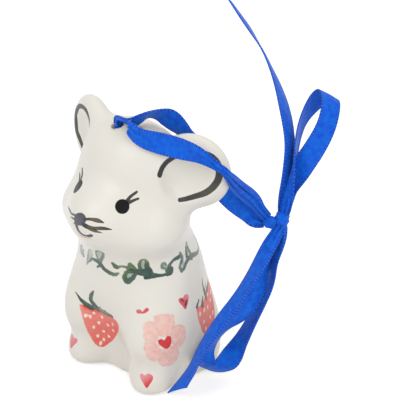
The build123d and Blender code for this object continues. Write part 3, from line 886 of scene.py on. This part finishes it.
def brush_mark_group():
    """Turns a mark's distance into how much paint covers the skin and how thickly it lies. The
    edge wanders by noise, and the paint pools towards the rim of the mark."""
    group = bpy.data.node_groups.new("Brush mark", "ShaderNodeTree")
    socket(group, "Distance", "INPUT")
    socket(group, "Wander", "INPUT", value=0.2)
    socket(group, "Softness", "INPUT", value=0.12)
    socket(group, "Cover", "OUTPUT")
    socket(group, "Pooling", "OUTPUT")
    start, end = node(group, "NodeGroupInput"), node(group, "NodeGroupOutput")
    place = node(group, "ShaderNodeTexCoord")
    noise = node(group, "ShaderNodeTexNoise")
    noise.inputs["Scale"].default_value = 1300
    noise.inputs["Detail"].default_value = 2
    group.links.new(place.outputs["Object"], noise.inputs["Vector"])
    wander = formula(group, "MULTIPLY", formula(group, "SUBTRACT", noise.outputs["Fac"], 0.5),
        start.outputs[1])
    away = formula(group, "ADD", start.outputs[0], wander)
    inner = formula(group, "MULTIPLY", start.outputs[2], -1)
    cover = node(group, "ShaderNodeMapRange", interpolation_type="SMOOTHSTEP")
    group.links.new(away, cover.inputs[0])
    group.links.new(inner, cover.inputs[1])
    group.links.new(start.outputs[2], cover.inputs[2])
    cover.inputs[3].default_value, cover.inputs[4].default_value = 1, 0
    group.links.new(cover.outputs[0], end.inputs[0])
    group.links.new(smooth_step(group, away, -0.55, -0.05), end.inputs[1])
    return group


def mottle_group():
    """A soft, uneven dose between 0 and 1 over the surface, as brushed or dipped colour has"""
    group = bpy.data.node_groups.new("Uneven dose", "ShaderNodeTree")
    socket(group, "Scale", "INPUT", value=200)
    socket(group, "Contrast", "INPUT", value=1)
    socket(group, "Dose", "OUTPUT")
    start, end = node(group, "NodeGroupInput"), node(group, "NodeGroupOutput")
    place = node(group, "ShaderNodeTexCoord")
    noise = node(group, "ShaderNodeTexNoise")
    noise.inputs["Detail"].default_value = 3
    group.links.new(place.outputs["Object"], noise.inputs["Vector"])
    group.links.new(start.outputs[0], noise.inputs["Scale"])
    around = formula(group, "MULTIPLY", formula(group, "SUBTRACT", noise.outputs["Fac"], 0.5),
        start.outputs[1])
    made = node(group, "ShaderNodeMath", operation="ADD", use_clamp=True, in_1=0.5)
    group.links.new(around, made.inputs[0])
    group.links.new(made.outputs[0], end.inputs[0])
    return group


def use(tree, group, *inputs):
    """A placed node group whose inputs are sockets or numbers"""
    made = node(tree, "ShaderNodeGroup")
    made.node_tree = group
    for slot, value in zip(made.inputs, inputs):
        if isinstance(value, (int, float)):
            slot.default_value = value
        else:
            tree.links.new(value, slot)
    return made


def tint(tree, factor, base, over):
    """A colour mixed from base to over by the factor; each may be a socket or a colour"""
    made = node(tree, "ShaderNodeMix", data_type="RGBA")
    for slot, value in ((made.inputs[0], factor), (made.inputs[6], base), (made.inputs[7], over)):
        if isinstance(value, (tuple, list, float, int)) or hasattr(value, "foreach_get"):
            slot.default_value = value
        else:
            tree.links.new(value, slot)
    return made.outputs[2]


def linear(red, green, blue):
    """A colour given in 0 to 255 as the screen shows it, as linear light with full alpha"""
    values = np.array([red, green, blue]) / 255
    values = np.where(values < 0.04045, values / 12.92, ((values + 0.055) / 1.055) ** 2.4)
    return (*values.tolist(), 1.0)


def reads(tree, name):
    """The socket of a number that the mesh carries"""
    return node(tree, "ShaderNodeAttribute", attribute_name=name).outputs["Fac"]


def glazed_ceramic(colours, brush, mottle):
    """Off-white clay with the painting over it, under a clear glossy coat"""
    made = bpy.data.materials.new("Glazed ceramic")
    made.use_nodes = True
    tree = made.node_tree
    tree.nodes.clear()
    dose = use(tree, mottle, 90.0, 1.1).outputs[0]
    fine = use(tree, mottle, 420.0, 1.6).outputs[0]
    patchy = use(tree, mottle, 700.0, 2.4).outputs[0]
    colour = tint(tree, dose, linear(229, 226, 219), tuple(colours.glaze) + (1.0,))
    olive, thin = reads(tree, "olive"), reads(tree, "thin")
    marks = {name: use(tree, brush, reads(tree, name), wander, soft) for name, wander, soft in (
        ("petal", 1.0, 0.34), ("berry", 0.45, 0.14), ("seed", 0.15, 0.12), ("heart", 0.3, 0.12),
        ("dark", 0.3, 0.14), ("wash", 0.6, 0.24), ("leaf", 0.6, 0.13), ("thread", 0.2, 0.12),
        ("ink", 0.14, 0.08), ("nose", 0.14, 0.1), ("eye", 0.08, 0.08))}

    def laid(name, share, paint, under):
        """The colour under a layer, covered by the layer's paint as far as it reaches"""
        return tint(tree, formula(tree, "MULTIPLY", marks[name].outputs[0], share), under, paint)

    body = formula(tree, "SUBTRACT", 1.0, formula(tree, "MULTIPLY", thin, 0.5))
    rim = formula(tree, "MULTIPLY", marks["petal"].outputs[1], patchy)
    petal = tint(tree, rim, tint(tree, patchy, linear(240, 200, 190), linear(234, 164, 150)),
        linear(224, 140, 128))
    uneven = formula(tree, "ADD", 0.5, formula(tree, "MULTIPLY", dose, 0.5))
    colour = laid("petal", uneven, petal, colour)
    berry = tint(tree, patchy, linear(220, 72, 62), linear(232, 104, 88))
    berry = tint(tree, thin, berry, linear(238, 152, 142))
    colour = laid("berry", 1.0, berry, colour)
    colour = laid("seed", 0.95, linear(247, 230, 214), colour)
    heart = tint(tree, thin, tint(tree, dose, linear(204, 44, 50), linear(216, 62, 66)),
        linear(222, 148, 152))
    colour = laid("heart", 1.0, heart, colour)
    colour = laid("dark", 0.85, linear(104, 26, 50), colour)
    wash = tint(tree, olive, linear(132, 158, 152), linear(158, 168, 122))
    colour = laid("wash", formula(tree, "MULTIPLY", body, 0.85), wash, colour)
    leaf = tint(tree, patchy, linear(8, 36, 44), linear(40, 84, 70))
    leaf = tint(tree, formula(tree, "MULTIPLY", olive, 0.8), leaf, linear(108, 128, 62))
    leaf = tint(tree, thin, leaf, linear(46, 92, 90))
    colour = laid("leaf", formula(tree, "MULTIPLY", body, 0.95), leaf, colour)
    colour = laid("thread", 0.8, linear(196, 84, 84), colour)
    ink = tint(tree, fine, linear(20, 20, 24), linear(54, 54, 58))
    inner = formula(tree, "MULTIPLY", olive, smooth_step(tree, reads(tree, "ink"), -0.34, -0.08, True))
    ink = tint(tree, inner, ink, linear(118, 102, 58))
    ink = tint(tree, thin, ink, linear(150, 148, 120))
    colour = laid("ink", 0.97, ink, colour)
    colour = laid("nose", 0.94, tint(tree, fine, linear(50, 50, 62), linear(84, 82, 94)), colour)
    colour = laid("eye", 1.0, linear(8, 7, 10), colour)
    shader = node(tree, "ShaderNodeBsdfPrincipled")
    shader.inputs["IOR"].default_value = 1.5
    shader.inputs["Coat Roughness"].default_value = 0.14
    shader.inputs["Coat Weight"].default_value = 0.22
    shader.inputs["Roughness"].default_value = 0.35
    shader.inputs["Specular IOR Level"].default_value = 0.14
    undulation = node(tree, "ShaderNodeTexNoise")
    undulation.inputs["Scale"].default_value = 160
    undulation.inputs["Detail"].default_value = 1
    tree.links.new(node(tree, "ShaderNodeTexCoord").outputs["Object"], undulation.inputs["Vector"])
    bump = node(tree, "ShaderNodeBump")
    bump.inputs["Strength"].default_value = 0.25
    bump.inputs["Distance"].default_value = 0.0006
    tree.links.new(undulation.outputs["Fac"], bump.inputs["Height"])
    tree.links.new(bump.outputs["Normal"], shader.inputs["Normal"])
    tree.links.new(colour, shader.inputs["Base Color"])
    tree.links.new(shader.outputs[0], node(tree, "ShaderNodeOutputMaterial").inputs[0])
    return made


def satin_ribbon(colours, mottle):
    """Blue satin with fine cross ribs, a stitched edge on both sides and a soft sheen; shade is painted
    into the troughs between the ribs, and the blue is a random mix of a lit and a shaded tone
    """
    made = bpy.data.materials.new("Satin ribbon")
    made.use_nodes = True
    tree = made.node_tree
    tree.nodes.clear()
    along, across = reads(tree, "along"), reads(tree, "across")
    ribs = formula(tree, "SINE", formula(tree, "MULTIPLY", along, 2 * np.pi / 0.45))
    stitches = formula(tree, "SINE", formula(tree, "MULTIPLY", along, 2 * np.pi / 0.9))
    edge = smooth_step(tree, formula(tree, "ABSOLUTE", across), 2.4, 2.62)
    # The cloth's blue is a random patchy mix of a lit and a shaded tone of the satin: painted light and
    # shade, not laid by its threads
    cloth = use(tree, mottle, 700.0, 2.2).outputs[0]
    colour = tint(tree, cloth, tuple(colours.shade) + (1.0,), tuple(colours.light) + (1.0,))
    # Painted shade: the troughs of the cross ribs, where the bump is low, are darkened towards deep blue
    rib_trough_shade = formula(tree, "MULTIPLY", smooth_step(tree, ribs, -1.0, 0.0, True), 0.5)
    colour = tint(tree, rib_trough_shade, colour, linear(4, 40, 170))
    colour = tint(tree, formula(tree, "MULTIPLY", edge, 0.5), colour, linear(4, 44, 168))
    stitched = formula(tree, "MULTIPLY", edge, smooth_step(tree, stitches, -0.3, 0.5))
    colour = tint(tree, formula(tree, "MULTIPLY", stitched, 0.5), colour, linear(70, 128, 232))
    height = formula(tree, "ADD", formula(tree, "MULTIPLY", ribs, 0.5),
        formula(tree, "MULTIPLY", stitched, 1.2))
    bump = node(tree, "ShaderNodeBump")
    bump.inputs["Strength"].default_value = 0.5
    bump.inputs["Distance"].default_value = 0.00006
    tree.links.new(height, bump.inputs["Height"])
    shader = node(tree, "ShaderNodeBsdfPrincipled")
    shader.inputs["Roughness"].default_value = 0.5
    shader.inputs["Specular IOR Level"].default_value = 0.14
    shader.inputs["Sheen Weight"].default_value = 0.06
    shader.inputs["Sheen Roughness"].default_value = 0.4
    bounced = node(tree, "ShaderNodeLightPath").outputs["Is Diffuse Ray"]
    colour = tint(tree, formula(tree, "MULTIPLY", bounced, 0.85), colour, (0.55, 0.56, 0.6, 1))
    tree.links.new(colour, shader.inputs["Base Color"])
    tree.links.new(bump.outputs["Normal"], shader.inputs["Normal"])
    tree.links.new(shader.outputs[0], node(tree, "ShaderNodeOutputMaterial").inputs[0])
    return made


def stage_material(name, colour, glow):
    """A plain surface that the camera, mirrors and glass see paler than it lights the object"""
    made = bpy.data.materials.new(name)
    made.use_nodes = True
    tree = made.node_tree
    tree.nodes.clear()
    lit = node(tree, "ShaderNodeBsdfDiffuse", in_0=colour)
    pale = node(tree, "ShaderNodeEmission", in_0=(1, 1, 1, 1), in_1=glow)
    both = node(tree, "ShaderNodeAddShader")
    tree.links.new(lit.outputs[0], both.inputs[0])
    tree.links.new(pale.outputs[0], both.inputs[1])
    path = node(tree, "ShaderNodeLightPath")
    seen = formula(tree, "MAXIMUM", path.outputs["Is Camera Ray"], path.outputs["Is Glossy Ray"])
    seen = formula(tree, "MAXIMUM", seen, path.outputs["Is Transmission Ray"])
    mix = node(tree, "ShaderNodeMixShader")
    tree.links.new(seen, mix.inputs[0])
    tree.links.new(lit.outputs[0], mix.inputs[1])
    tree.links.new(both.outputs[0], mix.inputs[2])
    tree.links.new(mix.outputs[0], node(tree, "ShaderNodeOutputMaterial").inputs[0])
    return made


# Sizes and colours that a user would change


class MOUSE_PG_figure(bpy.types.PropertyGroup):
    """The glazed figure"""

    glaze: FloatVectorProperty(
        name="Glaze", description="Colour of the glazed clay", subtype="COLOR", size=3, min=0, max=1,
        default=linear(222, 218, 208)[:3],
    )
    spacing: FloatProperty(
        name="Skin spacing", description="Distance between corners of the skin, in millimetres",
        default=0.66, min=0.4, max=2.0,
    )


class MOUSE_PG_ribbon(bpy.types.PropertyGroup):
    """The satin ribbon"""

    width: FloatProperty(
        name="Width", description="Full width of the flat ribbon, in metres", unit="LENGTH", default=0.006
    )
    thickness: FloatProperty(
        name="Thickness", description="Thickness of the cloth, in metres", unit="LENGTH", default=0.0003
    )
    # Light blue and Deep blue are a lit and a shaded tone of the satin, mixed at random over the cloth as
    # painted light and shade, not by raised and sunken threads
    light: FloatVectorProperty(
        name="Light blue", description="Colour of the ribbon's raised threads", subtype="COLOR", size=3,
        min=0, max=1, default=linear(12, 118, 236)[:3],
    )
    shade: FloatVectorProperty(
        name="Deep blue", description="Colour between the ribbon's threads", subtype="COLOR", size=3,
        min=0, max=1, default=linear(10, 82, 212)[:3],
    )


class MOUSE_PG_stage(bpy.types.PropertyGroup):
    """Floor, light and camera"""

    azimuth: FloatProperty(
        name="Azimuth", description="Camera's way round the figure", subtype="ANGLE",
        default=np.radians(41.27)
    )
    elevation: FloatProperty(
        name="Elevation", description="Camera's height above the table", subtype="ANGLE",
        default=np.radians(27.67)
    )
    distance: FloatProperty(
        name="Distance", description="From the camera to the figure's foot", unit="LENGTH", default=0.48406
    )


# One operator for each piece or group of like pieces


def show(mesh, node_names, material):
    """The piece as an object that rides on the root body in place of its CAD nodes"""
    piece = bpy.data.objects.new(mesh.name, mesh)
    bpy.context.scene.collection.objects.link(piece)
    mesh.materials.append(material)
    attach(piece, "root")
    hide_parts(*node_names)
    return piece


class MOUSE_OT_materials(bpy.types.Operator):
    """Make the glaze and the satin that the pieces wear"""

    bl_idname = "mouse.materials"
    bl_label = "Make glaze and satin"

    def execute(self, context):
        brush, mottle = brush_mark_group(), mottle_group()
        glazed_ceramic(context.scene.mouse_figure, brush, mottle)
        satin_ribbon(context.scene.mouse_ribbon, mottle)
        return {"FINISHED"}


class MOUSE_OT_figure(bpy.types.Operator):
    """Make the painted and glazed figure"""

    bl_idname = "mouse.figure"
    bl_label = "Make figure"

    def execute(self, context):
        mesh = figure_mesh(context.scene.mouse_figure.spacing)
        show(mesh, ["mouse_figure"], bpy.data.materials["Glazed ceramic"])
        return {"FINISHED"}


class MOUSE_OT_ribbon(bpy.types.Operator):
    """Make the ribbon's stretches, knot and wrap"""

    bl_idname = "mouse.ribbon"
    bl_label = "Make ribbon and bow"

    def execute(self, context):
        sizes = context.scene.mouse_ribbon
        width, thickness = sizes.width / MM, sizes.thickness / MM
        satin = bpy.data.materials["Satin ribbon"]
        stretches = [
            ("ribbon_bight", BIGHT_ROUTE, (0, 1, 0), None),
            ("hanger_near_strand", NEAR_ROUTE, (0.3, -0.2, -0.9), "knot"),
            ("hanger_far_strand", FAR_ROUTE, (-0.7, -0.7, 0.3), "knot"),
            ("bow_loop_upper", UPPER_LOOP_ROUTE, (-0.9, -0.3, 0.2), "knot"),
            ("bow_tail_upper", UPPER_TAIL_ROUTE, (-0.6, -0.8, 0.2), "bare"),
            ("bow_loop_lower", LOWER_LOOP_ROUTE, (0.9, 0.4, 0), "knot"),
            ("bow_tail_lower", LOWER_TAIL_ROUTE, (0.9, 0.2, -0.2), "bare"),
        ]
        knot = wound_mesh("knot", KNOT_PLACE, (0.7, 0.5, -0.4), 1.75, 3.6, 2.0, 0.2, 1.0)
        wrap = wound_mesh("wrap", WRAP_PLACE, WRAP_DIRECTION, 2.0, 4.6, 3.0, 0.2, 2.0)
        pieces = {
            "knot": show(knot, ["ribbon_knot"], satin),
            "wrap": show(wrap, ["bow_wrap"], satin),
        }
        lines = {}
        for number, (name, route, across, end) in enumerate(stretches):
            cut = TAIL_CUT if name == "bow_tail_lower" else 0.0
            mesh, line, length = ribbon_mesh(
                name + "_cloth", route, across, width, thickness, number * 1.3, cut
            )
            pieces[name] = show(mesh, [name], satin)
            lines[name] = (line, length, end)
        for name, (line, length, end) in lines.items():
            if end is None:
                continue
        return {"FINISHED"}


class MOUSE_OT_stage(bpy.types.Operator):
    """Make the floor, the lights and the camera"""

    bl_idname = "mouse.stage"
    bl_label = "Make stage"

    def execute(self, context):
        scene = context.scene
        make_floor()
        make_lights(scene)
        make_camera(scene)
        return {"FINISHED"}


def make_floor():
    """A wide floor at z = 0 that curves up behind into a backdrop: forward to back it is flat,
    then follows a quarter circle, then rises"""
    wide = np.linspace(-2.5, 2.5, 9)
    bend = np.linspace(0, np.pi / 2, 13)
    depth = np.concatenate([[-3.0, 0.0], 1.2 + 0.8 * np.sin(bend), [2.0]])
    height = np.concatenate([[0.0, 0.0], 0.8 - 0.8 * np.cos(bend), [3.0]])
    x, y = np.meshgrid(wide, depth, indexing="ij")
    z = np.broadcast_to(height, x.shape)
    turn = np.radians(41.27)
    corners = np.stack([x * np.cos(turn) - y * np.sin(turn), x * np.sin(turn) + y * np.cos(turn), z], -1)
    index = np.arange(x.size).reshape(x.shape)
    faces = np.stack([index[:-1, :-1], index[1:, :-1], index[1:, 1:], index[:-1, 1:]], -1).reshape(-1, 4)
    mesh = bpy.data.meshes.new("floor")
    mesh.from_pydata(corners.reshape(-1, 3).tolist(), [], faces.tolist())
    mesh.shade_smooth()
    mesh.materials.append(stage_material("Pale floor", (0.8, 0.8, 0.8, 1), 0.42))
    floor = bpy.data.objects.new("floor", mesh)
    bpy.context.scene.collection.objects.link(floor)


def make_lights(scene):
    """Large soft lamps: one above on the camera's left, one on its right, one behind"""
    world = bpy.data.worlds.new("Pale room")
    world.use_nodes = True
    back = world.node_tree.nodes["Background"]
    back.inputs[0].default_value = (1, 1, 1, 1)
    back.inputs[1].default_value = 0.74
    scene.world = world
    lamps = [
        ("key", (-0.25, -0.75, 0.85), 0.6, 2.7),
        ("fill", (0.9, -0.35, 0.6), 0.7, 2.7),
        ("top", (0.1, 0.3, 1.1), 0.8, 1.4),
    ]
    for name, place, size, power in lamps:
        data = bpy.data.lights.new(name, "AREA")
        data.shape = "SQUARE"
        data.size = size
        data.energy = power
        lamp = bpy.data.objects.new(name, data)
        basis = basis_of(place)
        lamp.matrix_world = Matrix.Translation(place) @ Matrix(basis.T.tolist()).to_4x4()
        scene.collection.objects.link(lamp)


def make_camera(scene):
    """The photograph's camera: the figure's foot lies left of and below the picture's middle
    by the shares given, at the stage's angles and distance"""
    sizes = scene.mouse_stage
    a, e = sizes.azimuth, sizes.elevation
    backward = np.array([np.sin(a) * np.cos(e), -np.cos(a) * np.cos(e), np.sin(e)])
    right = np.array([np.cos(a), np.sin(a), 0.0])
    up = np.cross(backward, right)
    foot_right, foot_up = (144.02 - 200) / 3500, (200 - 356.33) / 3500
    place = backward * sizes.distance - right * foot_right - up * foot_up
    data = bpy.data.cameras.new("camera")
    data.sensor_width = 36.0
    data.sensor_fit = "HORIZONTAL"
    data.lens = 1694.2 / 400 * data.sensor_width
    data.clip_start = 0.01
    camera = bpy.data.objects.new("camera", data)
    turn = Matrix(np.column_stack([right, up, backward]).tolist()).to_4x4()
    camera.matrix_world = Matrix.Translation(place.tolist()) @ turn
    scene.collection.objects.link(camera)
    scene.camera = camera
    scene.view_settings.view_transform = "Standard"


class MOUSE_PT_panel(bpy.types.Panel):
    """The sizes, colours and operators in the sidebar"""

    bl_idname = "MOUSE_PT_panel"
    bl_label = "Sitting mouse ornament"
    bl_space_type = "VIEW_3D"
    bl_region_type = "UI"
    bl_category = "Mouse Ornament"

    def draw(self, context):
        layout = self.layout
        for group in (context.scene.mouse_figure, context.scene.mouse_ribbon, context.scene.mouse_stage):
            for name in group.__annotations__:
                layout.prop(group, name)
        for operator in OPERATORS:
            layout.operator(operator.bl_idname)


OPERATORS = (MOUSE_OT_materials, MOUSE_OT_figure, MOUSE_OT_ribbon, MOUSE_OT_stage)
GROUPS = (MOUSE_PG_figure, MOUSE_PG_ribbon, MOUSE_PG_stage)
CLASSES = GROUPS + OPERATORS + (MOUSE_PT_panel,)


def register():
    """Registers the classes and hangs their settings on the scene"""
    for made in CLASSES:
        bpy.utils.register_class(made)
    bpy.types.Scene.mouse_figure = PointerProperty(type=MOUSE_PG_figure)
    bpy.types.Scene.mouse_ribbon = PointerProperty(type=MOUSE_PG_ribbon)
    bpy.types.Scene.mouse_stage = PointerProperty(type=MOUSE_PG_stage)


def unregister():
    """Takes the settings and the classes away again"""
    del bpy.types.Scene.mouse_figure, bpy.types.Scene.mouse_ribbon, bpy.types.Scene.mouse_stage
    for made in reversed(CLASSES):
        bpy.utils.unregister_class(made)


def main():
    """Builds the ornament and its stage"""
    register()
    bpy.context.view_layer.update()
    bpy.ops.mouse.materials()
    bpy.ops.mouse.figure()
    bpy.ops.mouse.ribbon()
    bpy.ops.mouse.stage()


if __name__ == "__main__":
    main()
